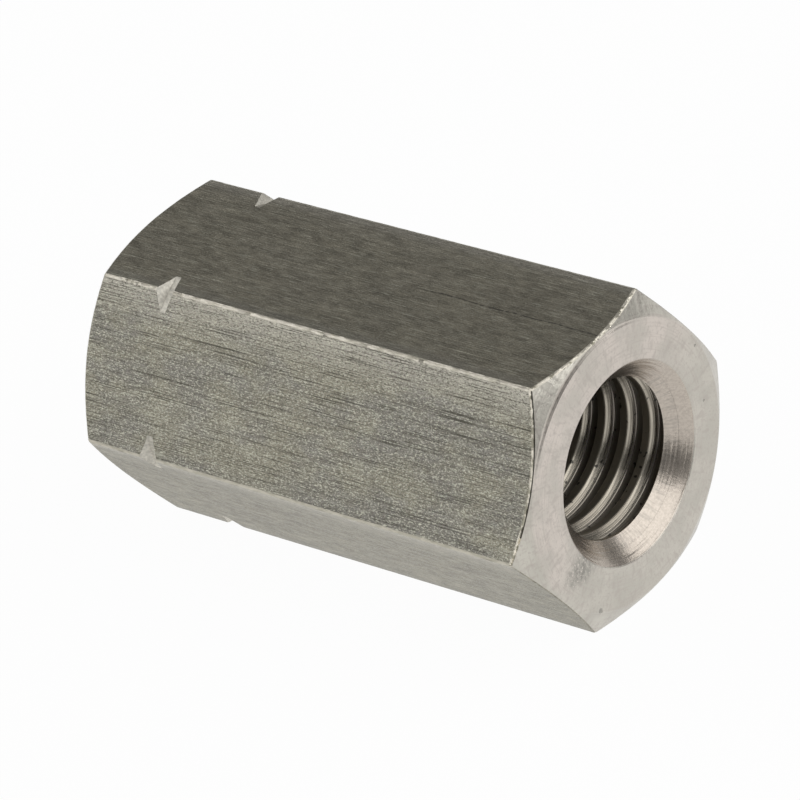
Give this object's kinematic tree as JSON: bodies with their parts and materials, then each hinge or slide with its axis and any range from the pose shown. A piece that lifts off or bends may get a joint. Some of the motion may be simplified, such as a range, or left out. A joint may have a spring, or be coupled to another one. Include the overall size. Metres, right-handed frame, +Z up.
{
  "type": "coupling nut",
  "caption": "Long hexagon coupling nut, chamfered and countersunk at both ends, with a groove in its corners that marks the left-hand threaded end.",
  "frame": {"origin": "middle of the nut, on the axis of its bore", "axes": "+X along the bore, out of the end with the right-hand thread; +Z up, square to the flat on top; the nut lies on the flat underneath"},
  "size_m": [0.036, 0.0216, 0.0186],
  "materials": {
    "drawn_steel": "bare steel: drawn flats with lengthwise marks, turned end faces and countersinks"
  },
  "bodies": {
    "root": {"coupling_nut": "drawn_steel"}
  },
  "joints": []
}
